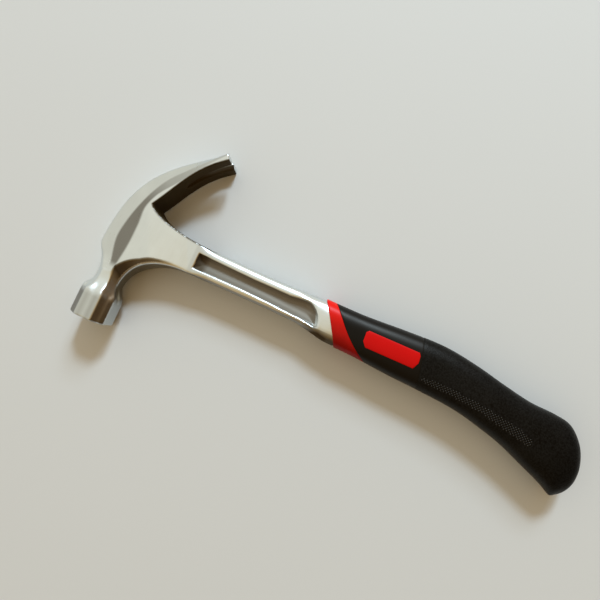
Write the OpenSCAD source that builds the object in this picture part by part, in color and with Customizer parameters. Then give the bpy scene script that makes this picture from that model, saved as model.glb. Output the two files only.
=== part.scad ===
// Claw hammer, forged in one piece, with a moulded grip.
// The origin is the centre of the striking face. +Y runs up the head to the claw,
// +X runs along the handle to the butt, and +Z is square to the flat side.

/* [Head] */
// Width of the striking face along the handle
face_w = 24.4; // [20:0.2:32]
// Thickness of the poll across its flat sides
poll_t = 26; // [22:0.5:32]
// Cut at each corner of the octagonal poll
poll_corner = 6.6; // [4:0.1:7.5]
// Bevel round the striking face
face_bevel = 1.2; // [0.5:0.1:2]
// Length of the straight octagonal poll
poll_len = 16.5; // [12:0.5:20]
// Width of the neck at its waist
neck_w = 16.4; // [14:0.2:20]
// Thickness of the neck at its waist
neck_t = 19; // [15:0.5:24]
// Thickness of the cheeks
cheek_t = 23; // [19:0.5:26]
// Height of the handle axis above the striking face
axis_y = 62.4; // [55:0.2:75]
// Reach of the head behind the poll axis
back_x = 14.6; // [13.5:0.2:18]
// Height of the claw tips above the striking face
head_h = 132.3; // [120:0.5:150]
// Reach of the claw tips towards the handle
claw_reach = 43; // [36:0.2:48]
// Thickness of the claw at its tips
claw_tip_t = 4.8; // [3.5:0.1:6]
// Width across both claws at the tips
claw_tip_w = 26; // [22:0.5:32]
// Width across the claws at their root
claw_root_w = 22; // [19:0.5:24]
// Width of the nail slot at the tips
slot_tip_w = 6; // [5.5:0.1:8]
// Width of the nail slot at its root
slot_root_w = 1.8; // [1.2:0.1:3]
// Length of the nail slot along the handle direction
slot_len = 27; // [20:0.5:30]

/* [Shank] */
// Width of the shank
shank_w = 19.8; // [17:0.2:24]
// Thickness of the shank
shank_t = 16; // [13:0.5:18]
// Where the side pocket starts
pocket_x = 47.5; // [46:0.5:60]
// Length of the side pocket
pocket_len = 87; // [60:0.5:92]
// Width of the side pocket at its floor
pocket_w = 9.6; // [6:0.2:11]
// Thickness of the web between the two pockets
web_t = 7; // [5:0.2:10]

/* [Tang] */
// Width of the tang inside the grip
tang_w = 14; // [10:0.5:16]
// Thickness of the tang
tang_t = 7; // [5:0.2:8]
// Diameter of the holes that lock the moulding
lock_hole_d = 7; // [4:0.5:9]
// Number of locking holes
lock_holes = 3; // [1:1:4]

/* [Grip] */
// Where the steel enters the grip, on the handle axis
grip_x = 142; // [138:0.5:150]
// Reach of the butt from the poll axis
butt_x = 313.2; // [295:0.2:340]
// Drop of the heel below the handle axis
heel_drop = 42; // [36:0.5:50]
// Width of the grip at its front
grip_front_w = 26.6; // [25:0.2:30]
// Width of the grip at its fullest
grip_full_w = 32; // [29:0.2:38]
// Thickness of the grip at its front
grip_front_t = 22.4; // [21:0.2:25]
// Thickness of the grip over its rear
grip_rear_t = 26; // [24:0.5:32]
// Wall of the grip round the steel at its front edge
collar_wall = 0.9; // [0.6:0.1:1.6]
// Width of the bare band along the handle, on the handle axis
band_w = 9.6; // [6:0.2:14]
// Length of the smooth front grip behind the band
front_grip_len = 50.6; // [48:0.2:56]
// Thickness of the black covering over the inner sleeve
cover_t = 3; // [2:0.2:4]
// Length of the side label
label_len = 35.7; // [24:0.5:40]
// Width of the side label
label_w = 10.4; // [7:0.2:12]
// Depth of the label's seat
label_depth = 1; // [0.6:0.1:1.4]

/* [Hidden] */
steel = [0.72, 0.73, 0.70];
red = [0.80, 0.09, 0.07];
black = [0.09, 0.09, 0.09];
curve_steps = 14;
ring_points = 28;
far = 400;

// Heights of the main levels of the head.
neck_y = 29;
corner_y = axis_y - 14;
shank_low = axis_y - shank_w / 2 - 0.1;
shank_high = axis_y + shank_w / 2;
throat_y = axis_y + 21;
throat_x = 9.3;
neck_bevel = 4.8;
claw_bevel_w = 16.5;
claw_bevel_drop = 6.2;
// The cheeks slope down to the shank between these two places.
cheek_end_x = 17;
shank_start_x = 50;

function bezier(a, b, c, d, steps = curve_steps) =
    [for (i = [0:steps]) let (t = i / steps, s = 1 - t)
        s * s * s * a + 3 * s * s * t * b + 3 * s * t * t * c + t * t * t * d];

// A value eased between the steps of a table of [place, value].
function table_step(x, table, i = 0) =
    i >= len(table) - 2 || x <= table[i + 1][0] ? i : table_step(x, table, i + 1);
function eased(x, table) =
    let (i = table_step(x, table), a = table[i], b = table[i + 1])
    let (u = max(0, min(1, (x - a[0]) / (b[0] - a[0]))))
    a[1] + (b[1] - a[1]) * (1 - cos(180 * u)) / 2;

// Curves of the head's outline, each as a table from height to place along the handle.
function by_height(curve) = [for (p = curve) [p[1], p[0]]];
neck_back = by_height(bezier([-face_w / 2, poll_len], [-neck_w * 0.02, 41],
    [-back_x, corner_y - 9], [-back_x, corner_y]));
claw_back = by_height(bezier([-back_x, corner_y], [-back_x, axis_y + 38],
    [claw_reach - 32.9, head_h - 22.6], [claw_reach - claw_tip_t / 2, head_h]));
claw_front = by_height(bezier([throat_x, throat_y], [throat_x + 10.6, throat_y + 17.6],
    [claw_reach - 19.8, head_h - 18.4], [claw_reach, head_h - claw_tip_t * 0.85]));
neck_front_curve = bezier([neck_w / 2 + 0.4, neck_y - 3], [neck_w / 2 + 1.1, shank_low - 6.7],
    [29.6, shank_low], [shank_start_x - 3, shank_low]);
neck_front = by_height(neck_front_curve);
throat_curve = bezier([shank_start_x, shank_high], [35.7, shank_high],
    [13.6, throat_y - 6.5], [throat_x, throat_y]);
throat = by_height(throat_curve);

function back_of(y) =
    y <= poll_len ? -face_w / 2 : y < corner_y ? lookup(y, neck_back) : lookup(y, claw_back);
function poll_front(y) =
    eased(y, [[poll_len, face_w / 2], [neck_y - 3, neck_w / 2 + 0.4]]);
function front_of(y) =
    y < neck_y - 3 ? poll_front(y)
    : y < shank_low ? lookup(y, neck_front)
    : y < shank_high ? shank_start_x - 3
    : y < throat_y ? lookup(y, throat)
    : y < head_h - claw_tip_t * 0.85 ? lookup(y, claw_front)
    : claw_reach - (y - head_h + claw_tip_t * 0.85) / (claw_tip_t * 0.85) * claw_tip_t * 0.4;
function half_t(y) = eased(y, [[poll_len, poll_t / 2], [neck_y, neck_t / 2],
    [corner_y - 6, cheek_t / 2], [throat_y, cheek_t / 2], [throat_y + 14, claw_root_w / 2],
    [head_h - 4, claw_tip_w / 2]]);
// The bevel along the back is 45 degrees on the poll and the neck. Above the corner it is
// shallow and wide, and it narrows as the claw gets thinner.
function back_cut(y) =
    let (w = front_of(y) - back_of(y))
    y <= poll_len ? poll_corner
    : min(claw_bevel_w, w * 0.64, lookup(y, [[poll_len, poll_corner], [neck_y - 2, neck_bevel],
        [neck_y + 2, neck_bevel], [neck_y + 7, claw_bevel_w * 0.66], [corner_y, claw_bevel_w]]));
function back_drop(y) =
    y < corner_y ? min(poll_corner, lookup(y, [[poll_len, poll_corner], [neck_y - 2, neck_bevel],
        [neck_y + 2, neck_bevel], [corner_y, claw_bevel_drop]]))
    : lookup(y, [[corner_y, claw_bevel_drop], [head_h, claw_bevel_drop * 0.5]]);
function front_cut(y) =
    let (w = front_of(y) - back_of(y))
    y < corner_y ? min(w * 0.46, eased(y, [[neck_y, poll_corner], [corner_y, 4.4]])) : 1.2;

// One octagonal cross-section of the head at height y, drawn in by inset.
function head_ring(y, inset = 0) =
    let (b = back_of(y) + inset, f = front_of(y) - inset, h = half_t(y) - inset)
    let (cb = back_cut(y), cf = front_cut(y))
    let (db = back_drop(y), df = cf)
    [[f - cf, y, -h], [f, y, -h + df], [f, y, h - df], [f - cf, y, h],
     [b + cb, y, h], [b, y, h - db], [b, y, -h + db], [b + cb, y, -h]];

// A closed skin through a list of rings that all have the same number of points.
module loft(rings) {
    n = len(rings[0]);
    last = len(rings) - 1;
    points = [for (r = rings) each r];
    sides = [for (k = [0:last - 1], i = [0:n - 1])
        let (a = k * n + i, b = k * n + (i + 1) % n)
        each [[a, b, b + n], [a, b + n, a + n]]];
    start = [for (i = [n - 1:-1:0]) i];
    end = [for (i = [0:n - 1]) last * n + i];
    polyhedron(points, concat(sides, [start, end]), convexity = 6);
}

// Pieces that are blended into one skin.
module blended() resize([0, 0, 0]) children();

module head_blank() {
    neck_levels = [for (i = [1:8]) poll_len + i * (neck_y + 5 - poll_len) / 8];
    fillet_levels = [for (p = neck_front_curve) if (p[1] > neck_y + 6) p[1]];
    throat_levels = [for (i = [curve_steps:-1:0])
        let (p = throat_curve[curve_steps - i]) if (p[1] > shank_high + 0.05) p[1]];
    claw_levels = [for (i = [1:16]) throat_y + i * (head_h - 0.4 - throat_y) / 16];
    levels = concat([face_bevel, poll_len], neck_levels, fillet_levels,
        [shank_low + 0.2, axis_y, shank_high - 0.2], throat_levels, claw_levels);
    rings = [for (y = levels) head_ring(y)];
    loft(concat([[for (p = head_ring(0, face_bevel)) p]], rings));
}

// Takes the sides of the cheeks down to the thickness of the shank.
module cheek_slopes() {
    top = poll_t / 2 + 3;
    drop = (cheek_t - shank_t) / 2;
    for (side = [-1, 1])
        multmatrix([[1, 0, 0, 0], [0, 0, 1, neck_y], [0, side, 0, 0], [0, 0, 0, 1]])
            linear_extrude(throat_y - neck_y - 0.5)
                polygon([[cheek_end_x, cheek_t / 2], [cheek_end_x + 12, cheek_t / 2 - drop * 0.4],
                    [shank_start_x - 8, shank_t / 2 + drop * 0.12], [shank_start_x + 4, shank_t / 2],
                    [shank_start_x + 4, top], [cheek_end_x, top]]);
}

// The nail slot: a V through the claw that narrows from the tips to its root.
module nail_slot() {
    root_x = claw_reach - slot_len;
    root_y = head_h - slot_len * 1.12;
    hull() {
        translate([root_x, root_y, -slot_root_w / 2]) cylinder(h = slot_root_w, d = 1, $fn = 12);
        translate([claw_reach + 4, head_h - 8, -slot_tip_w / 2]) cube([1, 1, slot_tip_w]);
        translate([claw_reach - 4, head_h + 4, -slot_tip_w / 2]) cube([1, 1, slot_tip_w]);
        translate([root_x - 16, root_y + 6, -slot_root_w / 2])
            cylinder(h = slot_root_w, d = 1, $fn = 12);
    }
}

// A rounded cross-section between a low and a high point, with the given half thickness.
function section(low, high, half, power, n = ring_points) =
    [for (i = [0:n - 1])
        let (a = 360 * i / n, c = cos(a), s = sin(a))
        let (u = sign(c) * pow(abs(c), 2 / power), v = sign(s) * pow(abs(s), 2 / power))
        let (p = (low + high) / 2 + (high - low) / 2 * u)
        [p[0], p[1], -half * v]];

// Sections of the shank: place, low edge, high edge, half thickness and squareness.
// Near the grip they follow the grip's own sections, a wall further in.
mid_y = axis_y - 1.5;
collar_low = mid_y - grip_front_w / 2 + collar_wall;
collar_high = mid_y + grip_front_w / 2 - collar_wall;
collar_half = grip_front_t / 2 - 0.3 - collar_wall;
shank_stations = [
    [cheek_end_x + 8, shank_low, shank_high + 0.4, shank_t / 2 + 1.2, 9],
    [shank_start_x - 8, shank_low, shank_high + 0.2, shank_t / 2, 9],
    [shank_start_x + 4, shank_low, shank_high, shank_t / 2, 7],
    [grip_x - 40, shank_low, shank_high, shank_t / 2, 5],
    [grip_x - 20, shank_low - 0.2, shank_high, shank_t / 2 + 0.3, 4],
    [grip_x - 10, (shank_low + collar_low) / 2, (shank_high + collar_high) / 2,
        (shank_t / 2 + collar_half) / 2, 3],
    [grip_x, collar_low, collar_high, collar_half, 2.7],
    [grip_x + 14, collar_low, collar_high, collar_half, 2.7]];
module shank_blank() {
    loft([for (s = shank_stations) section([s[0], s[1]], [s[0], s[2]], s[3], s[4])]);
}

// One side pocket of the shank. Its walls lean outward, and its far end follows the grip.
module pocket() {
    end_x = pocket_x + pocket_len;
    lean = 1.6;
    top = shank_t / 2 + 4;
    function outline(g) = let (h = pocket_w / 2 + g, y = axis_y - 0.6)
        concat([[pocket_x + 2 - g, y - h + 0.6], [end_x - 25, y - h], [end_x - 3, y - h - 2.4 + g * 0.4]],
            bezier([end_x - 3, y - h - 2.4 + g * 0.4], [end_x + 4 + g, y - h - 1],
                [end_x - 4 + g, y + h + 1], [end_x - 14, y + h + 0.6], 8),
            [[end_x - 30, y + h], [pocket_x + 3 - g, y + h + 0.4]]);
    loft([[for (p = outline(lean * 0.8)) [p[0], p[1], top]],
        [for (p = outline(lean * 0.4)) [p[0], p[1], shank_t / 2]],
        [for (p = outline(-lean)) [p[0], p[1], web_t / 2]]]);
}

// Sections of the grip from front to heel: low point, high point and half thickness.
// Those behind the swell keep their spacing as a share of the length from there to the butt.
swell_x = grip_x + 46;
function rear(x) = swell_x + (x - 188) / (313.2 - 188) * (butt_x - swell_x);
heel_y = axis_y - heel_drop;
grip_rear_w = grip_full_w - 1;
grip_stations = [
    [[grip_x - 14, mid_y - grip_front_w / 2], [grip_x - 14, mid_y + grip_front_w / 2],
        grip_front_t / 2 - 0.3],
    [[grip_x + 18, mid_y - grip_front_w / 2], [grip_x + 18, mid_y + grip_front_w / 2],
        grip_front_t / 2],
    [[swell_x, mid_y - grip_full_w / 2 + 1], [swell_x, mid_y + grip_full_w / 2 - 0.9],
        grip_front_t / 2 + 0.7],
    [[rear(213), mid_y - grip_full_w / 2], [rear(213), mid_y + grip_full_w / 2],
        grip_rear_t / 2 - 0.5],
    [[rear(235), mid_y - grip_rear_w / 2 - 2.2], [rear(235), mid_y + grip_rear_w / 2 - 2.2],
        grip_rear_t / 2],
    [[rear(255), heel_y + 18.7], [rear(255), heel_y + 18.7 + grip_rear_w], grip_rear_t / 2],
    [[rear(268), heel_y + 15.2], [rear(273), heel_y + 15.6 + grip_rear_w], grip_rear_t / 2],
    [[rear(278), heel_y + 11.4], [rear(289), heel_y + 15 + grip_rear_w], grip_rear_t / 2],
    [[rear(285), heel_y + 8.7], [rear(299.4), heel_y + 12.8 + grip_rear_w],
        grip_rear_t / 2 - 0.1],
    [[rear(291.6), heel_y + 6.2], [rear(307.8), heel_y + 35.4], grip_rear_t / 2 - 0.8],
    [[rear(297), heel_y + 3.9], [rear(312.4), heel_y + 24.4], grip_rear_t / 2 - 2.6],
    [[rear(300.6), heel_y + 2.1], [rear(313.2), heel_y + 14.2], grip_rear_t / 2 - 5.4],
    [[rear(302.8), heel_y + 0.8], [rear(310.9), heel_y + 6.4], grip_rear_t / 2 - 8.8],
    [[rear(304.2), heel_y + 0], [rear(306.6), heel_y + 1.2], grip_rear_t / 2 - 11.8]];

// A smooth curve through four neighbouring values, between the second and the third.
function through(a, b, c, d, t) =
    0.5 * (2 * b + (c - a) * t + (2 * a - 5 * b + 4 * c - d) * t * t
        + (3 * b - a - 3 * c + d) * t * t * t);
function station(k) = grip_stations[max(0, min(len(grip_stations) - 1, k))];
function grip_at(k, t) =
    [for (j = [0:2]) through(station(k - 1)[j], station(k)[j], station(k + 1)[j],
        station(k + 2)[j], t)];
ring_steps = 3;
grip_path = concat(
    [for (k = [0:len(grip_stations) - 2], i = [0:ring_steps - 1]) grip_at(k, i / ring_steps)],
    [station(len(grip_stations) - 1)]);

// The outer skin of the grip, or the same shape drawn in by inset, up to a number of rings.
module grip_form(inset = 0, rings = len(grip_path)) {
    loft([for (k = [0:rings - 1])
        let (g = grip_path[k], d = (g[1] - g[0]) / norm(g[1] - g[0]))
        section(g[0] + d * inset, g[1] - d * inset, g[2] - inset, 2.7)]);
}
core_rings = 8 * ring_steps;

// Everything behind the grip's slanted front edge, moved back by shift.
front_slant = 0.59;
module behind_front(shift = 0) {
    x = grip_x + shift;
    translate([0, 0, -far / 2]) linear_extrude(far)
        polygon([[x - front_slant * 40, axis_y + 40], [far, axis_y + 40],
            [far, axis_y - 80], [x + front_slant * 80, axis_y - 80]]);
}

// Everything behind the swept rear edge of the bare band.
module behind_band() {
    x = grip_x + band_w;
    sweep = bezier([x - 9.8, axis_y + 11.5], [x - 0.4, axis_y + 1],
        [x + 5.3, axis_y - 8], [x + 21, axis_y - 16], 10);
    translate([0, 0, -far / 2]) linear_extrude(far)
        polygon(concat([[x - 14, axis_y + 18]], sweep,
            [[x + 34, axis_y - 24], [far, axis_y - 80], [far, axis_y + 80], [x - 14, axis_y + 40]]));
}

// Everything behind the step between the front and the rear grip.
step_x = grip_x + band_w + front_grip_len;
step_slant = 0.23;
module behind_step() {
    translate([0, 0, -far / 2]) linear_extrude(far)
        polygon([[step_x - step_slant * 40, axis_y + 40], [far, axis_y + 40],
            [far, axis_y - 80], [step_x + step_slant * 80, axis_y - 80]]);
}

// The tang follows the middle of the grip.
tang_path = [for (k = [0:2:7 * ring_steps]) (grip_path[k][0] + grip_path[k][1]) / 2 + [0, 0.6]];
module tang() {
    high = [for (p = tang_path) p + [0, tang_w / 2]];
    low = [for (i = [len(tang_path) - 1:-1:0]) tang_path[i] - [0, tang_w / 2]];
    first_x = step_x - 18;
    pitch = (rear(262) - first_x) / max(1, lock_holes - 1);
    difference() {
        translate([0, 0, -tang_t / 2]) linear_extrude(tang_t) polygon(concat(high, low));
        for (i = [0:lock_holes - 1]) {
            x = first_x + i * pitch;
            y = lookup(x, [for (p = tang_path) [p[0], p[1]]]);
            translate([x, y, -tang_t]) cylinder(h = 2 * tang_t, d = lock_hole_d, $fn = 24);
        }
    }
}

// The steel that the grip is moulded over.
module grip_steel() {
    shank_blank();
    tang();
}

// The label lies flush in a seat on each flat side of the grip.
label_x = grip_x + 41;
module label_outline(gap = 0) {
    l = label_len / 2 + gap;
    w = label_w / 2 + gap;
    cut = 3;
    translate([label_x, mid_y]) rotate(0.4)
        polygon([[-l + cut, -w], [l - cut, -w], [l, -w + cut], [l, w - cut],
            [l - cut, w], [-l + cut, w], [-l, w - cut], [-l, -w + cut]]);
}
module label_prisms() {
    for (side = [0, 1]) mirror([0, 0, side]) linear_extrude(far / 10) label_outline();
}
module label_core() grip_form(label_depth);

module forging() {
    color(steel) blended() difference() {
        union() {
            difference() {
                head_blank();
                cheek_slopes();
            }
            shank_blank();
            tang();
        }
        pocket();
        mirror([0, 0, 1]) pocket();
        nail_slot();
    }
}

module inner_sleeve() {
    color(red) blended() difference() {
        union() {
            intersection() {
                grip_form();
                difference() {
                    behind_front();
                    behind_band();
                }
            }
            intersection() {
                grip_form(cover_t, core_rings);
                behind_front();
            }
        }
        grip_steel();
    }
}

module front_grip() {
    color(black) blended() difference() {
        intersection() {
            grip_form();
            behind_band();
        }
        grip_form(cover_t, core_rings);
        behind_step();
        grip_steel();
        intersection() {
            label_prisms();
            difference() {
                grip_form(-1);
                label_core();
            }
        }
    }
}

module rear_grip() {
    color(black) blended() difference() {
        intersection() {
            grip_form();
            behind_step();
        }
        grip_form(cover_t, core_rings);
    }
}

module side_labels() {
    color(red) blended() intersection() {
        label_prisms();
        difference() {
            grip_form();
            label_core();
        }
    }
}

forging();
inner_sleeve();
front_grip();
rear_grip();
side_labels();
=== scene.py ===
import math

import bmesh
import bpy
import numpy as np
from mathutils import Matrix, Vector


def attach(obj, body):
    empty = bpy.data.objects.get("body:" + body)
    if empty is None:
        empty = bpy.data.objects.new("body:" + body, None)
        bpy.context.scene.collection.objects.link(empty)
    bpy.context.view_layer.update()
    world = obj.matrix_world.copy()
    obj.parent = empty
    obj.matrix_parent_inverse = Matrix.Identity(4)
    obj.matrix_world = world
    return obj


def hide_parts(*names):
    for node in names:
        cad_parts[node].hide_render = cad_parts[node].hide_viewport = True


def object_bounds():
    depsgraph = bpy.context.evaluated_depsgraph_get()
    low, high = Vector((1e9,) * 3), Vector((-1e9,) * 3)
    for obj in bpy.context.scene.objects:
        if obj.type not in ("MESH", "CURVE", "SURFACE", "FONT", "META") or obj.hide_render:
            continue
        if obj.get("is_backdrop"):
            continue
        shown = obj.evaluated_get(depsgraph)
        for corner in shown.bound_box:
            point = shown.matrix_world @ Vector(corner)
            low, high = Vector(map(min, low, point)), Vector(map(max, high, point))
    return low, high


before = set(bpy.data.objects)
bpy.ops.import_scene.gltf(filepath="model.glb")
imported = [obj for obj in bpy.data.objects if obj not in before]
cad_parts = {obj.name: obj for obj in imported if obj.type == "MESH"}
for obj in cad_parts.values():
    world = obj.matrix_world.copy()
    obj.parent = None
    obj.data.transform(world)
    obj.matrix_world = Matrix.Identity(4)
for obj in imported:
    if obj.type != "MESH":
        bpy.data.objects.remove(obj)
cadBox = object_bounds()
mm = 0.001    # shapes are in millimetres, finishes and lamps in metres
scene = bpy.context.scene
scene.view_settings.view_transform = "Standard"
print("frame loaded", sorted(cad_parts))


def unit(v):
    v = np.asarray(v, float)
    return v / np.linalg.norm(v)


def bezier(a, b, c, d, steps=24):
    t = np.linspace(0, 1, steps + 1)[:, None]
    s = 1 - t
    a, b, c, d = (np.array(p, float) for p in (a, b, c, d))
    return s ** 3 * a + 3 * s * s * t * b + 3 * s * t * t * c + t ** 3 * d


def catmull(a, b, c, d, t):
    return 0.5 * (2 * b + (c - a) * t + (2 * a - 5 * b + 4 * c - d) * t * t
                  + (3 * b - a - 3 * c + d) * t ** 3)


def throughPoints(points, steps=8):
    # a smooth curve through the points, open at both ends
    p = np.array(points, float)
    p = np.vstack([2 * p[0] - p[1], p, 2 * p[-1] - p[-2]])
    out = [catmull(p[k - 1], p[k], p[k + 1], p[k + 2], t)
           for k in range(1, len(p) - 2) for t in np.arange(steps) / steps]
    return np.array(out + [p[-2]])


def smoothTable(v, table):
    # eases through a table of place and value, flat beyond its ends
    xs, ys = np.array(table, float).T
    slope = np.gradient(ys, xs)
    i = np.clip(np.searchsorted(xs, v) - 1, 0, len(xs) - 2)
    w = xs[i + 1] - xs[i]
    t = np.clip((v - xs[i]) / w, 0, 1)
    return ((2 * t ** 3 - 3 * t ** 2 + 1) * ys[i] + (t ** 3 - 2 * t ** 2 + t) * w * slope[i]
            + (3 * t ** 2 - 2 * t ** 3) * ys[i + 1] + (t ** 3 - t ** 2) * w * slope[i + 1])


def lineTable(v, table):
    # the same in straight steps
    xs, ys = np.array(table, float).T
    return np.interp(v, xs, ys)


def sideOf(px, py, loop):
    # distance to a closed loop, positive inside it
    loop = np.vstack([loop, loop[:1]])
    inside = np.zeros(px.shape, bool)
    best = np.full(px.shape, 1e9)
    for (ax, ay), (bx, by) in zip(loop[:-1], loop[1:]):
        dx, dy = bx - ax, by - ay
        t = np.clip(((px - ax) * dx + (py - ay) * dy) / (dx * dx + dy * dy + 1e-12), 0, 1)
        best = np.minimum(best, (px - ax - t * dx) ** 2 + (py - ay - t * dy) ** 2)
        if dy:
            inside ^= ((ay > py) != (by > py)) & (px < dx * (py - ay) / dy + ax)
    return np.where(inside, 1, -1) * np.sqrt(best)


def both(a, b, r):
    # the common part of two fields, with an edge rounded over r
    return np.maximum(a, b) + np.maximum(r - np.abs(a - b), 0) ** 2 / (4 * r)


def tubeFaces(base, n, rings):
    # quads between rings of n points that follow each other
    return [(base + k * n + i, base + k * n + (i + 1) % n, base + (k + 1) * n + (i + 1) % n,
             base + (k + 1) * n + i) for k in range(rings - 1) for i in range(n)]


def fanFaces(start, n, tip):
    # triangles from a ring to one point
    return [(start + i, start + (i + 1) % n, tip) for i in range(n)]


def meshObject(name, points, faces, material, smooth=True):
    mesh = bpy.data.meshes.new(name)
    mesh.from_pydata((np.asarray(points, float) * mm).tolist(), [], [list(f) for f in faces])
    mesh.update()
    mesh.validate()
    if smooth:
        mesh.polygons.foreach_set("use_smooth", [True] * len(mesh.polygons))
    obj = bpy.data.objects.new(name, mesh)
    scene.collection.objects.link(obj)
    obj.data.materials.append(material)
    return obj


def fixNormals(obj):
    work = bmesh.new()
    work.from_mesh(obj.data)
    bmesh.ops.recalc_face_normals(work, faces=work.faces)
    work.to_mesh(obj.data)
    work.free()


class Sock:
    # a socket or a number, on which sums add Math nodes
    def __init__(self, nodes, value):
        self.nodes, self.value = nodes, value

    def maths(self, operation, *others):
        node = self.nodes.node("ShaderNodeMath", {"operation": operation},
                               dict(enumerate((self,) + others)))
        return Sock(self.nodes, node.outputs[0])

    def __add__(self, other):
        return self.maths("ADD", other)

    def __sub__(self, other):
        return self.maths("SUBTRACT", other)

    def __rsub__(self, other):
        return Sock(self.nodes, float(other)).maths("SUBTRACT", self)

    def __mul__(self, other):
        return self.maths("MULTIPLY", other)

    __radd__, __rmul__ = __add__, __mul__

    def absolute(self):
        return self.maths("ABSOLUTE")

    def clamp(self):
        return self.maths("MAXIMUM", 0.0).maths("MINIMUM", 1.0)


class Nodes:
    # the emptied node tree of a material or of the world
    def __init__(self, owner):
        owner.use_nodes = True
        self.tree = owner.node_tree
        self.tree.nodes.clear()

    def node(self, kind, settings=None, sockets=None):
        # settings first, then each socket's value or link
        node = self.tree.nodes.new(kind)
        for key, item in (settings or {}).items():
            if key == "stops":
                self.setStops(node.color_ramp, item)
            else:
                setattr(node, key, item)
        self.fill(node, sockets or {})
        return node

    def setStops(self, ramp, stops):
        while len(ramp.elements) < len(stops):
            ramp.elements.new(0.5)
        for stop, (place, colour) in zip(ramp.elements, stops):
            stop.position, stop.color = place, colour + (1,)

    def fill(self, node, sockets):
        for key, item in sockets.items():
            slot = node.inputs[key]
            if isinstance(item, Sock):
                item = item.value
            if isinstance(item, bpy.types.NodeSocket):
                self.tree.links.new(item, slot)
            else:
                slot.default_value = item + (1,) if slot.type == "RGBA" else item


class Finish(Nodes):
    # a material on one principled shader
    def __init__(self, name):
        self.material = bpy.data.materials.new(name)
        super().__init__(self.material)
        self.shader = self.node("ShaderNodeBsdfPrincipled")
        self.node("ShaderNodeOutputMaterial", {}, {"Surface": self.shader.outputs[0]})

    def set(self, sockets):
        self.fill(self.shader, sockets)

    def place(self):
        return self.node("ShaderNodeTexCoord").outputs["Object"]

    def stretched(self, vector, scale):
        return self.node("ShaderNodeMapping", {}, {"Vector": vector, "Scale": scale}).outputs[0]

    def noise(self, vector, scale, detail=3.0, rough=0.5):
        return Sock(self, self.node("ShaderNodeTexNoise", {}, {
            "Vector": vector, "Scale": scale, "Detail": detail, "Roughness": rough}).outputs[0])

    def parts(self, vector):
        node = self.node("ShaderNodeSeparateXYZ", {}, {"Vector": vector})
        return [Sock(self, node.outputs[i]) for i in range(3)]

    def fade(self, value, low, high):
        # eases from 0 at low to 1 at high
        return Sock(self, self.node("ShaderNodeMapRange", {"interpolation_type": "SMOOTHSTEP"}, {
            "Value": value, "From Min": low, "From Max": high}).outputs[0])

    def mix(self, mask, first, second):
        return self.node("ShaderNodeMix", {"data_type": "RGBA"},
                         {0: mask, 6: first, 7: second}).outputs[2]

    def bump(self, height, strength, distance):
        return self.node("ShaderNodeBump", {}, {
            "Height": height, "Strength": strength, "Distance": distance}).outputs[0]


steelLook = {
    "bright": (0.80, 0.86, 0.87),        # belt-ground flats
    "dull": (0.67, 0.72, 0.73),          # the same steel where the belt ran lightly
    "pocket": (0.21, 0.185, 0.145),      # as forged and blasted, in the pockets
    "scale": (0.072, 0.049, 0.022),      # forge scale, and the colour of the painted shade and painted darker reflections
    "rough": 0.30,
    "pocketRough": 0.62,
    "pocketMatt": 0.55,
    "thickScale": 0.84,                  # above this the scale and painted shade roughen the steel too
    "scaleRough": 2.6,
    "headMarks": (900, 70, 500),         # belt marks run up and down the head
    "shankMarks": (60, 900, 700),        # and along the shank
    "marksTurn": (0.042, 0.052),
    "markDepth": 0.12,
    "pocketEnds": ((0.0475, 0.0495), (0.1365, 0.1335)),
    "pocketShaded": (0.0074, 0.0066),
    "pocketMiddle": 0.0615,
    "pocketHalf": (0.0062, 0.0052),
}


def steelFinish():
    s = steelLook
    f = Finish("satinSteel")
    here = f.place()
    x, y, z = f.parts(here)
    onShank = f.fade(x, *s["marksTurn"])
    grain = (f.noise(f.stretched(here, s["headMarks"]), 1.0, 4.0, 0.6) * (1 - onShank)
             + f.noise(f.stretched(here, s["shankMarks"]), 1.0, 4.0, 0.6) * onShank)
    cloud = f.noise(here, 55.0, 3.0, 0.55)
    speckle = f.noise(here, 900.0, 2.0, 0.6)
    inPocket = (f.fade(x, *s["pocketEnds"][0]) * f.fade(x, *s["pocketEnds"][1])
                * f.fade(z.absolute(), *s["pocketShaded"])
                * f.fade((y - s["pocketMiddle"]).absolute(), *s["pocketHalf"]))
    # the scale attribute holds forge scale and painted shade and painted reflections, mixed in with the
    # scale colour
    scale = Sock(f, f.node("ShaderNodeAttribute", {"attribute_name": "scale"}).outputs["Fac"])
    tone = f.mix((cloud * 0.9 + grain * 0.35 - 0.15).clamp(), s["dull"], s["bright"])
    tone = f.mix(inPocket, tone, s["pocket"])
    f.set({
        "Base Color": f.mix(scale, tone, s["scale"]),
        "Metallic": 1 - inPocket * s["pocketMatt"],
        "Roughness": (s["rough"] + (grain - 0.5) * 0.12 + (cloud - 0.5) * 0.06
                      + inPocket * (s["pocketRough"] - s["rough"])
                      + (scale - s["thickScale"]).clamp() * s["scaleRough"]),
        "Normal": f.bump(grain * (1 - inPocket) * 0.35 + speckle * inPocket, s["markDepth"], 0.0002),
    })
    return f.material


steel = steelFinish()
shankLow, shankHigh, shankHalf = 52.5, 72.3, 8.0

forgingSize = {
    "block": ((-17, 152), (-2, 135), (-14, 14.01)),    # the block that the forging is cut from
    "shift": (0.013, 0.017, 0.011),      # keeps the cells off the flats
    "step": 0.5,           # cell size of the skin
    "edge": 0.9,           # rounding of the arrises
    "throatEdge": 0.2,
    "faceBevel": 0.8,
    "endX": 150.0,         # inside the grip
}

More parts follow.
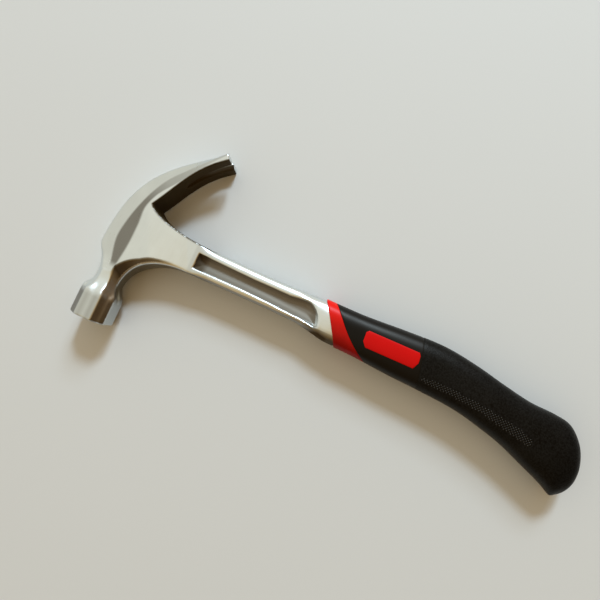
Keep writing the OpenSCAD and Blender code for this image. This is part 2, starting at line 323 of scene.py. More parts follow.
headShape = {
    # outlines seen from the flat side, curves as four control points
    "neckBack": [(-12.2, 16.6), (-11.7, 19.3), (-10.3, 21.8), (-8.8, 24.3), (-7.9, 27.1), (-7.7, 30.4),
                 (-8.0, 33.9), (-8.8, 37.1), (-10.3, 41.2), (-14.3, 48.3)],
    "clawBack": [(-14.2, 48.3), (-13.6, 100.5), (10.1, 109.7), (39.9, 132.3)],
    "neckFront": [(12.2, 15.6), (11.6, 18.3), (10.3, 20.8), (9.3, 23.2), (8.6, 25.8)],
    "under": [(8.6, 25.8), (9.3, 45.7), (29.6, 53.1), (46.5, shankLow)],
    "throat": [(52.2, shankHigh), (35.7, shankHigh), (13.6, 77), (9.3, 83.5)],
    "clawFront": [(9.3, 83.5), (19.9, 101.1), (23.6, 114.2), (42.2, 128)],
    # points before and after each line that close it well outside the steel
    "closing": [([(-60, -8), (-12.2, -8)], [(-42, 96), (-60, 96)]),
                ([(-60, -8), (-14.2, -8)], [(75.4, 159.4), (-60, 159.4)]),
                ([(12.2, -8)], [(200, shankLow), (200, -8)]),
                ([(200, shankHigh)], [(80, 156), (200, 156)])],
}


def headFields(px, py):
    # distance past the neck's back, the claw's back, the underside and the claw's front
    s = headShape
    under = np.vstack([throughPoints(s["neckFront"])[:-1], bezier(*s["under"], 30)])
    front = np.vstack([bezier(*s["throat"], 24), bezier(*s["clawFront"], 36)[1:]])
    lines = [throughPoints(s["neckBack"]), bezier(*s["clawBack"], 40), under, front]
    return [sideOf(px, py, np.vstack([before, line, after]))
            for line, (before, after) in zip(lines, s["closing"])]


class HeadGrid:
    # a block of points, with the distances of the side view at each
    def __init__(self, gx, gy, gz):
        self.gx, self.gy = gx, gy
        self.px, self.py = np.meshgrid(gx, gy, indexing="ij")
        self.x, self.y, self.z = self.px[..., None], self.py[..., None], np.abs(gz)[None, None, :]
        self.neck, self.claw, self.below, self.above = headFields(self.px, self.py)


neckSize = {
    "scallop": 1.1,        # how far the poll's flats run up into the round neck
    "scallopAt": [(7, 0), (14, 1), (18, 1), (26, 0)],
    "half": [(15, 13), (16.6, 13), (19.5, 12.3), (24, 10.5), (28.5, 9.6), (32, 10.0), (36, 11.6),
             (41, 15), (50, 24)],
    "backFacet": [(15, 6.4), (16.6, 6.4), (22, 5.4), (28, 4.7), (36, 4.8), (48, 5.1)],
    # by the distance along the facet, which runs on from the poll's corner under the cheek
    "frontFacet": [(12, 6.4), (28, 6.4), (35, 4.6), (42, 5.0), (52, 6.2), (65, 8.1), (80, 8.2),
                   (98, 7.2), (140, 7.2)],
}


def frontFacetAt(px, py):
    return lineTable(px + py, neckSize["frontFacet"])


def shapeNeck(g):
    # an octagon that narrows to a waist and flares again under the claw
    s, r = neckSize, forgingSize["edge"]
    pull = s["scallop"] * np.cos(8 * np.arctan2(g.z, g.x + 0 * g.z)) * lineTable(g.y, s["scallopAt"])
    row = np.clip((g.y + pull - g.gy[0]) / (g.gy[1] - g.gy[0]), 0, len(g.gy) - 1.001)
    first = row.astype(int)
    part = row - first
    column = np.arange(len(g.gx))[:, None, None]
    neck, below = (flat[column, first] * (1 - part) + flat[column, first + 1] * part
                   for flat in (g.neck, g.below))
    root2 = math.sqrt(2)
    f = both(neck, (g.z - smoothTable(g.y + pull, s["backFacet"]) + neck) / root2, r * 0.7)
    f = both(f, g.z - smoothTable(g.y + pull, s["half"]), r * 0.7)
    f = both(f, below, r)
    return both(f, (g.z - frontFacetAt(g.px, g.py)[..., None] + below) / root2, r * 0.7)


clawSize = {
    # the two lines along the claw where its side changes angle
    "firstLine": [(38.8, 0), (56.3, -3.6), (66.9, -2.3), (79.7, 0.9), (89.9, 4.6), (102.3, 11.6),
                  (112.8, 21), (133, 40.5)],
    "secondLine": [(38.8, 4.6), (53.1, 6.2), (67.3, 6.4), (81.3, 6.0), (89.7, 9.1), (103.3, 19),
                   (115.5, 27.5), (133, 42)],
    "backHalf": [(48, 5.0), (64, 5.1), (84, 5.8), (104, 7.2), (120, 9.2), (132, 10.6)],
    "half": [(48, 11.5), (76, 11.5), (88, 11.2), (104, 11.5), (132, 13.0)],
    "bevelShare": 0.72,    # of the rise from the back, on the first bevel
    "bevelReach": 0.9,
    "slope": 1.08,
    "tip": (40.4, 132.3),
    "tipWay": (0.865, 0.503),
    "cheekHalf": [(-40, 11.5), (17.6, 11.5), (19.2, 11.42), (44, 8.35), (46, 8.1), (49, 8.0), (160, 8.0)],
    "creaseSlant": 0.487,
    "creaseMiddle": 56.3,
    "cheekTop": 83,
    "cheekFade": 12,       # above its top the cheek gives way to the claw
    "clear": 13.5,
    "pollTop": 34,         # neither bevel nor cheek reaches down to the poll
    "pollLift": 0.7,
}


def clawLines(py):
    return smoothTable(py, clawSize["firstLine"]), smoothTable(py, clawSize["secondLine"])


def shapeClaw(f, g):
    # a wide shallow bevel along the back, a second one beside it, then the flat cheek
    s, r = clawSize, forgingSize["edge"]
    first, second = clawLines(g.py)
    back = np.maximum(-g.claw, 0)
    rise = (s["bevelShare"] * back
            / np.maximum(back + s["bevelReach"] * np.maximum(first - g.px, 0), 1e-3)
            + (1 - s["bevelShare"]) * np.clip((g.px - first) / (second - first), 0, 1))
    low, high = smoothTable(g.py, s["backHalf"]), smoothTable(g.py, s["half"])
    lift = s["pollLift"] * np.maximum(0, s["pollTop"] - g.py)
    f = both(f, g.claw[..., None], r * 0.8)
    f = both(f, (g.z - (low + (high - low) * rise + lift)[..., None]) / s["slope"], r * 0.6)

    # the cheek slopes evenly down to the shank past a slanted crease
    creaseX = g.px + s["creaseSlant"] * (np.minimum(g.py, s["cheekTop"]) - s["creaseMiddle"])
    fade = np.clip((g.py - s["cheekTop"]) / s["cheekFade"], 0, 1)
    cheek = lineTable(creaseX, s["cheekHalf"]) * (1 - fade) + s["clear"] * fade + lift
    f = both(f, g.z - cheek[..., None], r * 0.5)
    f = both(f, g.above[..., None], forgingSize["throatEdge"])
    (tx, ty), (wx, wy) = s["tip"], s["tipWay"]
    return both(f, ((g.px - tx) * wx + (g.py - ty) * wy)[..., None], r * 0.5)


def shapeFace(f, g):
    # the striking face and its bevel
    return np.maximum(np.maximum(f, -g.y), (f - g.y + forgingSize["faceBevel"]) / math.sqrt(2))


shankSize = {
    "low": [(40, shankLow), (108, shankLow), (122, 52.1), (132, 50.5), (142, 48.6), (156, 48.5)],
    "high": [(40, shankHigh), (122, shankHigh), (132, 72.9), (142, 73.3), (156, 73.3)],
    "half": [(40, shankHalf), (108, shankHalf), (122, 8.3), (132, 9.2), (142, 10.0), (156, 10.0)],
    "crown": 1.0,          # fall towards the edge on the claw side
    "edge": 0.8,
    "chamfer": [(50, 1.6), (60, 2.6), (118, 2.8), (130, 4.5)],
    "chamferEdge": 0.9,
    "opens": [(120, 0), (139, 1)],       # the bar turns into the collar where the grip starts
    "collarPower": 2.7,
    "joins": (44, 56),     # the head runs into the bar
}


def joinShank(f, g):
    s = shankSize
    low, high, half = (smoothTable(g.gx, s[key])[:, None, None] for key in ("low", "high", "half"))
    middle, reach = (low + high) / 2, (high - low) / 2
    across = np.abs(g.y - middle)
    crown = s["crown"] * np.minimum(across / reach, 1) ** 3 * (g.y > middle)
    bar = both(across - reach, g.z - half + crown, s["edge"])
    cut = lineTable(g.gx, s["chamfer"])[:, None, None]
    bar = both(bar, (across + g.z - reach - half + cut) / math.sqrt(2), s["chamferEdge"])
    p = s["collarPower"]
    ring = ((across / reach) ** p + (g.z / half) ** p) ** (1 / p)
    opened = smoothTable(g.gx, s["opens"])[:, None, None]
    shank = bar * (1 - opened) + (ring - 1) * half * opened
    start, end = s["joins"]
    blend = np.clip((g.x - start) / (end - start), 0, 1)
    blend = blend * blend * (3 - 2 * blend)
    return np.maximum(f * (1 - blend) + shank * blend, g.x - forgingSize["endX"])


pocketSize = {
    # the rim: along the poll side, round the slanted far end, back along the claw side
    "pollSide": [(49.3, 67.4), (49.0, 56.5), (82.0, 56.5), (103.9, 55.8), (125.8, 54.5), (134.4, 53.7)],
    "farEnd": [(135.6, 54.9), (134.4, 59.0), (132.6, 62.9), (128.8, 66.4), (124.4, 67.6), (113.2, 66.4)],
    "clawSide": [(102.5, 66.5), (88.7, 66.4)],
    "lean": [(60.5, 0.85), (63, 0.40)],  # a shallow wall on the poll side, a steep one opposite
    "webHalf": 3.5,
    "floorRound": 2.8,
    "rimRound": 0.6,
}


def sinkPockets(f, g):
    s = pocketSize
    rim = np.vstack([s["pollSide"], throughPoints(s["farEnd"], 4), s["clawSide"]])
    lean = lineTable(g.py, s["lean"])[..., None]
    pocket = lean * (shankHalf - g.z) - sideOf(g.px, g.py, rim)[..., None]
    return both(f, -both(pocket, s["webHalf"] - g.z, s["floorRound"]), s["rimRound"])


slotSize = {
    "mouth": (42.2, 128.5),
    "way": (0.62, 0.78),
    "half": [(0, 2.9), (30, 0.95), (33, 0.0), (34, -3), (60, -30)],    # by the distance from the mouth
    "frontFlare": (2.6, 0.55, [(0, 1), (30, 0.75), (34, 0)]),    # how deep, how wide, and where
    "backFlare": (1.2, 0.4, [(0, 1), (30, 0.5), (34, 0)]),
    "lowest": 90,
    "edge": 0.5,
}


def cutNailSlot(f, g):
    # a V through the claw, flared on both faces
    s = slotSize
    (mx, my), (wx, wy) = s["mouth"], s["way"]
    along = np.clip((my - g.py) * wy + (mx - g.px) * wx, 0, s["half"][-1][0])
    half = lineTable(along, s["half"])
    for surface, (deep, wide, table) in ((g.above, s["frontFlare"]), (g.claw, s["backFlare"])):
        half = half + np.clip(deep + surface, 0, deep) * wide * lineTable(along, table)
    slot = np.where(g.y < s["lowest"], 9.0, g.z - half[..., None])
    return both(f, -slot, s["edge"])


def skinOf(field, origin, step):
    # one point for each cell that the surface crosses, and a quad round each crossed edge
    inside = field < 0
    n = np.array(field.shape) - 1
    count = np.zeros(n, np.int8)
    corners = [(i, j, k) for i in (0, 1) for j in (0, 1) for k in (0, 1)]
    for i, j, k in corners:
        count += inside[i:n[0] + i, j:n[1] + j, k:n[2] + k]
    cells = (count > 0) & (count < 8)
    number = np.full(cells.shape, -1)
    number[cells] = np.arange(cells.sum())
    at = np.argwhere(cells)
    total, hits = np.zeros((len(at), 3)), np.zeros(len(at))
    for a in corners:
        for axis in range(3):
            if a[axis]:
                continue
            b = list(a)
            b[axis] = 1
            fa = field[tuple((at + a).T)]
            fb = field[tuple((at + b).T)]
            cut = (fa < 0) != (fb < 0)
            t = np.where(cut, fa / np.where(cut, fa - fb, 1), 0)
            spot = np.array(a, float)[None, :].repeat(len(at), 0)
            spot[:, axis] += t
            total[cut] += spot[cut]
            hits[cut] += 1
    points = origin + (at + total / hits[:, None]) * step

    quads = []
    for axis in range(3):
        o1, o2 = (axis + 1) % 3, (axis + 2) % 3
        a = np.take(inside, range(n[axis]), axis)
        b = np.take(inside, range(1, n[axis] + 1), axis)
        edges = np.argwhere(a != b)
        e1, e2 = edges[:, o1], edges[:, o2]
        edges = edges[(e1 > 0) & (e1 < n[o1]) & (e2 > 0) & (e2 < n[o2])]
        leaving = a[tuple(edges.T)]
        round4 = []
        for d1, d2 in ((-1, -1), (0, -1), (0, 0), (-1, 0)):
            c = edges.copy()
            c[:, o1] += d1
            c[:, o2] += d2
            round4.append(number[tuple(c.T)])
        quad = np.stack(round4, 1)
        quad[~leaving] = quad[~leaving][:, ::-1]
        quads.append(quad)
    return points, np.vstack(quads)


# where the steel is dark or dull, from forge scale and from painted shade and painted reflections: how much,
# then a table for each distance that limits the patch
scaleAndShadePatches = {
    # painted reflection: a darker olive band along the claw, where it reflects dark surroundings
    "clawDarkReflection": (0.74, {"pastFirst": [(-0.6, 0), (0.6, 1)], "toSecond": [(-0.6, 0), (0.6, 1)],
                        "half": [(3.99, 0), (4, 1)],
                        "y": [(36, 0), (40, 1), (84, 1), (100, 0.62), (122, 0.4)]}),
    "clawBevel": (0.1, {"pastFirst": [(-0.01, 1), (0, 0)], "half": [(4.6, 0), (4.61, 1)],
                        "y": [(38, 0), (44, 1)]}),
    # forge scale on the claw's inner face, darkened further as painted shade
    "clawInside": (0.97, {"above": [(-0.9, 0), (-0.25, 1)], "half": [(12.59, 1), (12.6, 0)],
                          "x": [(43.99, 1), (44, 0)], "y": [(76, 0), (82, 1)]}),
    # painted shade inside the nail slot
    "nailSlot": (0.97, {"above": [(-3.6, 0), (-3.0, 1), (-0.9, 1), (-0.25, 0)],
                        "half": [(5.19, 1), (5.2, 0)], "x": [(43.99, 1), (44, 0)],
                        "y": [(88, 0), (92, 1)]}),
    # painted shade: a dark line along the throat's edge, which also roughens it
    "throatArris": (0.95, {"above": [(-1.2, 0), (-0.6, 1)], "x": [(52, 1), (60, 0)]}),
    # painted shade on the chamfer under the cheek, which faces the floor
    "frontFacet": (0.88, {"offFacet": [(0.5, 1), (0.9, 0)], "below": [(-1.31, 1), (-1.3, 0)],
                          "along": [(34, 0), (42, 1), (80, 0.8), (92, 0)]}),
    # painted reflection of the shadowed floor on the downward facet under the neck and shank
    "underWall": (0.8, {"offWall": [(-0.4, 0), (0, 1)], "x": [(130, 1), (145, 0.4)],
                        "along": [(16, 0.5), (26, 0.55), (32, 1), (84, 1), (110, 0.8)]}),
    # painted reflections: the poll's facets darkened by different amounts
    "pollFlats": (1.0, {"x": [(-6.6, 0.8), (-5.6, 0.25), (-3.0, 0.38), (0, 0.2), (2.5, 0.42),
                              (5.4, 0.3), (6.0, 0.6), (8.0, 0.5), (9.4, 0.1), (10.2, 0.5),
                              (11.5, 0.5), (11.9, 0)],
                        "y": [(15, 1), (19, 0)]}),
    "shankStart": (0.16, {"x": [(45.5, 0), (47, 1), (56, 0.8), (66, 0)]}),
    # painted shade on the head-end wall of the pocket
    "pocketCorner": (0.8, {"x": [(49.0, 0), (49.6, 1), (54.5, 0.9), (57.5, 0)],
                           "half": [(7.49, 1), (7.5, 0)],
                           "y": [(56.6, 0), (56.61, 1), (67.39, 1), (67.4, 0)]}),
    # painted shade on the collar's poll side, away from the lamps
    "collar": (0.7, {"x": [(126, 0), (138, 1)], "y": [(50.5, 1), (56, 0)]}),
}
wallChamfer = (1.3, [(46, 0), (62, 1)])    # the under wall takes in the chamfer along the shank


def scaleAndShadeAt(points):
    px, py, half = points[:, 0], points[:, 1], np.abs(points[:, 2])
    claw, below, above = headFields(px, py)[1:]
    first, second = clawLines(py)
    distances = {
        "x": px, "y": py, "half": half, "along": px + py, "above": above, "below": below,
        "pastFirst": px - first, "toSecond": second - px,
        "offFacet": np.abs(half + below - frontFacetAt(px, py)),
        "offWall": below + wallChamfer[0] * lineTable(px, wallChamfer[1]),
    }
    dark = np.zeros(len(points))
    for strength, tables in scaleAndShadePatches.values():
        patch = np.full(len(points), strength)
        for key, table in tables.items():
            patch *= lineTable(distances[key], table)
        dark += patch
    return np.clip(dark, 0, 1)


def makeForging():
    s = forgingSize
    sides = [np.arange(low, high, s["step"]) + shift
             for (low, high), shift in zip(s["block"], s["shift"])]
    g = HeadGrid(*sides)
    field = shapeNeck(g)
    for work in (shapeClaw, shapeFace, joinShank, sinkPockets, cutNailSlot):
        field = work(field, g)
    points, quads = skinOf(field, np.array([side[0] for side in sides]), s["step"])
    obj = meshObject("forging", points, quads, steel)
    # the scale attribute: forge scale, painted shade and painted reflections
    obj.data.attributes.new("scale", "FLOAT", "POINT").data.foreach_set("value", scaleAndShadeAt(points))
    return obj


forging = makeForging()
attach(forging, "root")
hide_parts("forging")
print("forging made", len(forging.data.polygons))

gripSize = {
    # low point, high point and half thickness of each cross-section, from the front to the heel
    "stations": [
        (128, 47.6, 128, 74.2, 10.9), (160, 47.6, 160, 74.2, 11.2), (188, 45.9, 188, 76.0, 11.9),
        (213, 44.9, 213, 76.9, 12.5), (235, 43.2, 235, 74.2, 13.0), (255, 39.1, 255, 70.1, 13.0),
        (268, 35.6, 273, 67.0, 13.0), (278, 31.8, 289, 66.4, 13.0), (285, 29.1, 299.4, 64.2, 12.9),
        (291.6, 26.6, 307.8, 55.8, 12.2), (297, 24.3, 312.4, 44.8, 10.4),
        (300.6, 22.5, 313.2, 34.6, 7.6), (302.8, 21.2, 310.9, 26.8, 4.2),
        (304.2, 20.4, 306.6, 21.6, 1.2)],
    "power": 2.7,
    "around": 128,
    "frontX": 142.0,
    "frontSlant": 0.59,
    "bandBack": [(141.8, 73.9), (151.2, 63.4), (156.9, 54.4), (172.6, 46.4)],
    "bandEnds": [(137.6, 80.4), (185.6, 38.4)],
    "stepX": 202.2,
    "stepSlant": 0.23,
    "axisY": 62.4,
    "cutsBefore": 6.0,     # the seams lie before this station
    "seam": 0.1,           # half the gap between two pieces
    "lip": 0.35,           # rounding at the edge of a piece
    "bandLip": 0.5,        # share of it on either side of the band
    "stepSeam": 3,         # how much wider the seam at the step is
    "stepLip": 1.6,
    "notchLeast": 0.03,    # the step shows most on the claw side
    "notchPower": 9,
    "wall": 2.6,
    "stationLong": 27.0,
    "rows": (12, 40, 120),
}
stations = np.array(gripSize["stations"], float)
bandEdge = np.vstack([gripSize["bandEnds"][:1], bezier(*gripSize["bandBack"]), gripSize["bandEnds"][1:]])
angles = (np.arange(gripSize["around"]) + 0.5) / gripSize["around"] * 2 * math.pi


def sectionAt(s):
    k = np.clip(np.floor(s).astype(int), 0, len(stations) - 2)
    near = [stations[np.clip(k + d, 0, len(stations) - 1)] for d in (-1, 0, 1, 2)]
    return catmull(*near, (s - k)[..., None])


def gripPoint(s, angle, inset=0.0):
    q = sectionAt(s)
    low, high, half = q[..., 0:2], q[..., 2:4], q[..., 4] - inset
    chord = high - low
    length = np.linalg.norm(chord, axis=-1)
    middle = (low + high) / 2
    c, v = np.cos(angle), np.sin(angle)
    e = 2 / gripSize["power"]
    u = np.sign(c) * np.abs(c) ** e
    w = np.sign(v) * np.abs(v) ** e
    reach = (length / 2 - inset) * u / length
    return np.stack([middle[..., 0] + chord[..., 0] * reach, middle[..., 1] + chord[..., 1] * reach,
                     half * w], -1)


def behindFront(p):
    return p[..., 0] - gripSize["frontX"] + gripSize["frontSlant"] * (p[..., 1] - gripSize["axisY"])


def behindBand(p):
    return p[..., 0] - np.interp(p[..., 1], bandEdge[::-1, 1], bandEdge[::-1, 0])


def behindStep(p):
    return p[..., 0] - gripSize["stepX"] + gripSize["stepSlant"] * (p[..., 1] - gripSize["axisY"])


def halve(shape, end, past):
    # the first station at which past is true, by halving
    low, high = np.zeros(shape), np.full(shape, float(end))
    for _ in range(40):
        middle = (low + high) / 2
        found = past(middle)
        high, low = np.where(found, middle, high), np.where(found, low, middle)
    return high


def cutAt(test, shift):
    # where each line along the grip meets a boundary
    def past(s):
        return test(gripPoint(s, angles)) > shift
    return halve(len(angles), gripSize["cutsBefore"], past)


def gripHeight(x, y):
    # half thickness of the grip at a point of its side view
    def past(s):
        q = sectionAt(s)
        return (q[..., 2] - q[..., 0]) * (y - q[..., 1]) > (q[..., 3] - q[..., 1]) * (x - q[..., 0])
    q = sectionAt(halve(np.shape(x), len(stations) - 1, past))
    dx, dy = q[..., 2] - q[..., 0], q[..., 3] - q[..., 1]
    u = 2 * ((x - q[..., 0]) * dx + (y - q[..., 1]) * dy) / (dx * dx + dy * dy) - 1
    return q[..., 4] * np.maximum(1 - np.abs(u) ** gripSize["power"], 0) ** (1 / gripSize["power"])


def lipRows(s, way, lip):
    # the rows that turn in at the edge of a piece, from the inside out
    rows = [(s, gripSize["wall"])]
    for turn in (0, 30, 60, 90):
        a = math.radians(turn)
        rows.append((s + way * lip * (1 - math.cos(a)) / gripSize["stationLong"],
                     lip * (1 - math.sin(a))))
    return rows


def gripTube(name, material, start, end, rows, lips):
    # a tube between two seams, or up to the heel where end is None
    first = lipRows(start, 1, lips[0])
    last = lipRows(end, -1, lips[1])[::-1] if end is not None else []
    a = first[-1][0]
    b = last[0][0] if last else np.full(len(angles), len(stations) - 1.0)
    middle = [(a + (b - a) * t, 0.0) for t in np.linspace(0, 1, rows + 1)[1:(-1 if last else None)]]
    rings = [gripPoint(s, angles, inset) for s, inset in first + middle + last]
    n, m = len(angles), len(rings)
    points = np.vstack(rings)
    faces = tubeFaces(0, n, m)
    if last:
        faces += [((m - 1) * n + i, (m - 1) * n + (i + 1) % n, (i + 1) % n, i) for i in range(n)]
    else:
        points = np.vstack([points, rings[0].mean(0), rings[-1].mean(0)])
        faces += fanFaces(0, n, n * m) + fanFaces((m - 1) * n, n, n * m + 1)
    obj = meshObject(name, points, faces, material)
    fixNormals(obj)
    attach(obj, "root")
    return obj


# the red band and labels have painted shade: a lit red that fades to a shaded red towards the poll side
redLook = {
    "bandLit": (0.80, 0.012, 0.006),
    "bandShaded": (0.20, 0.002, 0.0015),   # painted shade, towards the poll side
    "bandRough": 0.32,
    "bandSpan": (0.045, 0.077),
    "labelLit": (0.60, 0.003, 0.002),
    "labelShaded": (0.46, 0.002, 0.0015),
    "labelRough": 0.5,
    "labelSpan": (0.050, 0.066),
    "gloss": 0.1,
}


def redFinish(name, piece):
    lit, deep, rough, span = (redLook[piece + key] for key in ("Lit", "Shaded", "Rough", "Span"))
    f = Finish(name)
    here = f.place()
    y = f.parts(here)[1]
    # painted shade: the red is darker towards the poll side, with a little random mottle
    cloud = (f.fade(y, *span) + (f.noise(here, 90.0, 3.0) - 0.5) * 0.3).clamp()
    fine = f.noise(here, 1500.0, 2.0)
    f.set({"Base Color": f.mix(cloud, deep, lit), "Roughness": rough + (fine - 0.5) * 0.1,
           "Specular IOR Level": redLook["gloss"], "Normal": f.bump(fine, 0.05, 0.0001)})
    return f.material


blackLook = {
    "smooth": (0.0014, 0.0014, 0.0013),
    "smoothLit": (0.0026, 0.0026, 0.0024),
    "smoothRough": 0.39,
    "smoothGloss": 0.19,
    "dotGloss": 0.5,
    "rubber": (0.0012, 0.0012, 0.0010),
    "rubberLit": (0.016, 0.016, 0.0145),
    "rubberRough": 0.42,
    "rubberGloss": 0.11,
    "sheen": (1.0, 0.9, 0.78),
}


def smoothFinish(name, gloss):
    f = Finish(name)
    here = f.place()
    cloud = f.noise(here, 70.0, 3.0)
    fine = f.noise(here, 1200.0, 3.0)
    f.set({
        "Base Color": f.mix(cloud, blackLook["smooth"], blackLook["smoothLit"]),
        "Roughness": blackLook["smoothRough"] + (cloud - 0.5) * 0.12 + (fine - 0.5) * 0.06,
        "Specular IOR Level": gloss,
        "Specular Tint": blackLook["sheen"],
        "Normal": f.bump(fine, 0.06, 0.0001),
    })
    return f.material


def rubberFinish():
    f = Finish("grainedRubber")
    here = f.place()
    cell = Sock(f, f.node("ShaderNodeTexVoronoi", {}, {"Vector": here, "Scale": 1150.0}).outputs["Distance"])
    fine = f.noise(here, 2100.0, 3.0, 0.6)
    dust = f.noise(here, 60.0, 3.0)
    spark = f.fade(f.noise(here, 1500.0, 1.0), 0.66, 0.78)
    mask = ((0.75 - cell) * 0.7 + (dust - 0.4) * 0.5 + spark * 0.6).clamp()
    f.set({
        "Base Color": f.mix(mask, blackLook["rubber"], blackLook["rubberLit"]),
        "Roughness": blackLook["rubberRough"] + (fine - 0.5) * 0.2,
        "Specular IOR Level": blackLook["rubberGloss"],
        "Specular Tint": blackLook["sheen"],
        "Normal": f.bump(fine * 0.5 - cell, 0.35, 0.00022),
    })
    return f.material


labelRed = redFinish("redLabel", "label")
seam, lip = gripSize["seam"], gripSize["lip"]
bandLip = lip * gripSize["bandLip"]
notch = (gripSize["notchLeast"]
         + (1 - gripSize["notchLeast"]) * np.clip(np.cos(angles), 0, 1) ** gripSize["notchPower"])
stepSeam, stepLip = gripSize["stepSeam"] * seam * notch, gripSize["stepLip"] * lip * notch
bandRows, frontRows, rearRows = gripSize["rows"]

band = gripTube("redBand", redFinish("redNylon", "band"), cutAt(behindFront, 0.0),
                cutAt(behindBand, -seam), bandRows, (lip, bandLip))
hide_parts("inner_sleeve")
front = gripTube("frontGrip", smoothFinish("smoothBlack", blackLook["smoothGloss"]),
                 cutAt(behindBand, seam), cutAt(behindStep, -stepSeam), frontRows, (bandLip, stepLip))
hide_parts("front_grip")
rear = gripTube("rearGrip", rubberFinish(), cutAt(behindStep, stepSeam), None, rearRows, (stepLip, lip))
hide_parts("rear_grip")
print("grip made")

labelSize = {
    "middle": (183.0, 60.9),
    "turn": 0.4,
    "length": 35.7,
    "width": 10.4,
    "clip": 2.8,           # how much is taken off the corners
    "step": 0.8,
    "proud": 0.22,
    "bevel": 0.2,
    "sunk": 0.6,
}


def labelOutline():
    # eight corners, each clipped a little differently
    s = labelSize
    l, w, c = s["length"] / 2, s["width"] / 2, s["clip"]
    corners = [(-l + c, -w), (l - c * 0.7, -w), (l, -w + c * 1.5), (l - 0.5, w - c * 0.6),
               (l - c * 0.6, w), (-l + c * 0.5, w), (-l, w - c * 0.5), (-l + 0.3, -w + c * 1.1)]
    outline = []
    for (ax, ay), (bx, by) in zip(corners, corners[1:] + corners[:1]):
        steps = max(2, int(math.hypot(bx - ax, by - ay) / s["step"]))
        outline += [(ax + (bx - ax) * i / steps, ay + (by - ay) * i / steps) for i in range(steps)]
    return np.array(outline)


def makeLabels():
    s = labelSize
    outline = labelOutline()
    a = math.radians(s["turn"])
    spin = np.array([[math.cos(a), -math.sin(a)], [math.sin(a), math.cos(a)]])
    inner = 1 - s["bevel"] / (s["width"] / 2)
    rings = [(1.0, -s["sunk"]), (1.0, s["proud"] - s["bevel"] * 0.7),
             (1 - 0.3 * (1 - inner), s["proud"] - 0.05), (inner, s["proud"])]
    rings += [(inner * t, s["proud"]) for t in (0.85, 0.7, 0.55, 0.4, 0.25, 0.12)]
    points, faces = [], []
    n = len(outline)
    mx, my = s["middle"]
    for side in (1, -1):
        base = len(points)
        for t, lift in rings:
            flat = (outline * (t, t)) @ spin.T + s["middle"]
            high = gripHeight(flat[:, 0], flat[:, 1]) + lift
            points += [(p[0], p[1], side * h) for p, h in zip(flat, high)]
        points.append((mx, my, side * (float(gripHeight(mx, my)) + s["proud"])))
        faces += tubeFaces(base, n, len(rings))
        faces += fanFaces(base + (len(rings) - 1) * n, n, len(points) - 1)
        faces.append([base + i for i in range(n)][::-1])
    obj = meshObject("sideLabels", points, faces, labelRed)
    fixNormals(obj)
    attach(obj, "root")
    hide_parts("side_labels")


makeLabels()

dotSize = {
    "outline": [(203.8, 52.3), (217.7, 54.7), (240.9, 53), (257.5, 51), (271, 48.9), (278.4, 45.9),
                (278.3, 41.4), (260, 45), (246, 48.2), (232.6, 49.8), (209.8, 50.5)],
    "pitch": 1.9,
    "radius": 0.52,
    "height": 0.32,
    "around": 10,
    "rings": [(1.0, -0.1), (0.9, 0.35), (0.6, 0.8)],    # share of the radius and of the height
}


def dotSpots():
    # staggered rows inside the outline
    s = dotSize
    low, high = np.min(s["outline"], 0), np.max(s["outline"], 0)
    rows = int((high[1] - low[1]) / (s["pitch"] / 2)) + 2
    columns = int((high[0] - low[0]) / s["pitch"]) + 2
    spots = np.array([(low[0] + (c + 0.5 * (r % 2)) * s["pitch"], low[1] + r * s["pitch"] / 2)
                      for r in range(rows) for c in range(columns)])
    return spots[sideOf(spots[:, 0], spots[:, 1], np.array(s["outline"])) > 0]


def makeDots():
    s = dotSize
    n = s["around"]
    turns = np.arange(n) / n * 2 * math.pi
    points, faces = [], []
    for x, y in dotSpots():
        e = 0.05    # step for the slope of the grip under the dot
        h = float(gripHeight(x, y))
        nx = -(float(gripHeight(x + e, y)) - h) / e
        ny = -(float(gripHeight(x, y + e)) - h) / e
        up = unit((nx, ny, 1))
        along = unit((1, 0, -nx))
        across = np.cross(up, along)
        dot = [np.array((x, y, h)) + (along * math.cos(a) + across * math.sin(a)) * s["radius"] * t
               + up * lift * s["height"] for t, lift in s["rings"] for a in turns]
        dot.append(np.array((x, y, h)) + up * s["height"])
        for side in (1, -1):
            base = len(points)
            points += [(p[0], p[1], side * p[2]) for p in dot]
            faces += tubeFaces(base, n, len(s["rings"]))
            faces += fanFaces(base + (len(s["rings"]) - 1) * n, n, len(points) - 1)
            faces.append([base + i for i in range(n)][::-1])
    obj = meshObject("gripDots", points, faces, smoothFinish("dotBlack", blackLook["dotGloss"]))
    fixNormals(obj)
    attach(obj, "root")


makeDots()
print("labels and dots made")

room = {
    "paper": (0.62, 0.62, 0.595),
    "paperMottle": 0.015,
    "paperHalf": 2500,
    "lampColour": (0.62, 0.79, 0.96),
    "lampFar": 2.5,
    "lampAim": (0.13, 0.06, 0.0),
    # the way to each lamp, its size and its power
    "lamps": {"window": ((-0.09, 0.745, 0.655), 0.36, 35.0),
              "doorway": ((0.0, 0.82, 0.57), 0.62, 28.0)},
    "bright": (-0.86, 0.16, 0.48),       # the way to the light wall
    # the walls, from the side away from it to the wall itself
    "walls": [(0.0, (0.05, 0.022, 0.006)), (0.30, (0.14, 0.07, 0.018)), (0.50, (0.42, 0.24, 0.075)),
              (0.64, (0.66, 0.47, 0.22)), (0.74, (0.78, 0.68, 0.50)), (0.85, (0.80, 0.755, 0.64))],
    "wallLight": 1.0,
}


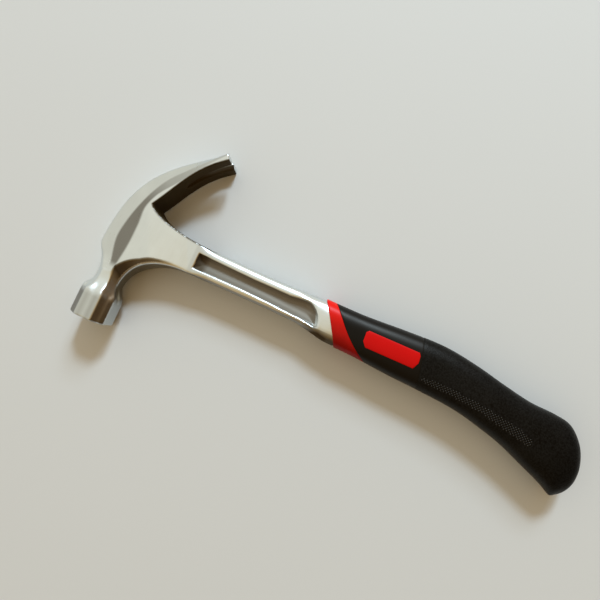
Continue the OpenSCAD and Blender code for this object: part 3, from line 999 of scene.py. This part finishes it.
def makeFloor():
    f = Finish("paper")
    here = f.place()
    dim, lit = (tuple(v * (1 + way * room["paperMottle"]) for v in room["paper"]) for way in (-1, 1))
    f.set({"Base Color": f.mix(f.noise(here, 3.0, 2.0), dim, lit), "Roughness": 0.9,
           "Normal": f.bump(f.noise(here, 160.0, 3.0), 0.03, 0.0005)})
    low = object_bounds()[0].z / mm
    far = room["paperHalf"]
    corners = [(-far, -far, low), (far, -far, low), (far, far, low), (-far, far, low)]
    floor = meshObject("paperFloor", corners, [(0, 1, 2, 3)], f.material, smooth=False)
    floor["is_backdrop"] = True


def makeLamp(name, way, size, power):
    data = bpy.data.lights.new(name, "AREA")
    data.shape, data.size, data.energy = "SQUARE", size, power
    data.color = room["lampColour"]
    lamp = bpy.data.objects.new(name, data)
    scene.collection.objects.link(lamp)
    way = Vector(way).normalized()
    lamp.location = Vector(room["lampAim"]) + way * room["lampFar"]
    lamp.rotation_euler = way.to_track_quat("Z", "Y").to_euler()


def makeWalls():
    scene.world = bpy.data.worlds.new("room")
    w = Nodes(scene.world)
    way = w.node("ShaderNodeTexCoord").outputs["Generated"]
    facing = w.node("ShaderNodeVectorMath", {"operation": "DOT_PRODUCT"}, {0: way, 1: unit(room["bright"])})
    place = w.node("ShaderNodeMapRange", {}, {"Value": facing.outputs["Value"], "From Min": -1})
    tone = w.node("ShaderNodeValToRGB", {"stops": room["walls"]}, {0: place.outputs[0]})
    wall = w.node("ShaderNodeBackground", {}, {"Color": tone.outputs[0], "Strength": room["wallLight"]})
    w.node("ShaderNodeOutputWorld", {}, {"Surface": wall.outputs[0]})


view = {
    "over": (143.21, 47.34),     # the point of the hammer's middle plane straight below the lens
    "height": 302.0,
    "right": (0.90989, 0.41228, -0.04608),
    "down": (0.40725, -0.90886, -0.09006),
    "lens": 28.5,
    "sensor": 36.0,
    "clip": (0.01, 20),
}


def makeCamera():
    data = bpy.data.cameras.new("camera")
    data.lens, data.sensor_width = view["lens"], view["sensor"]
    data.clip_start, data.clip_end = view["clip"]
    camera = bpy.data.objects.new("camera", data)
    scene.collection.objects.link(camera)
    right, up = unit(view["right"]), -unit(view["down"])
    turn = Matrix(np.stack([right, up, np.cross(right, up)], 1).tolist())
    spot = Vector(view["over"] + (view["height"],)) * mm
    camera.matrix_world = Matrix.Translation(spot) @ turn.to_4x4()
    scene.camera = camera


makeFloor()
for name, (way, size, power) in room["lamps"].items():
    makeLamp(name, way, size, power)
makeWalls()
makeCamera()
print("floor, lamps, walls and camera made")

size = {"cad": [list(v) for v in cadBox], "visual": [list(v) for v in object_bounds()]}
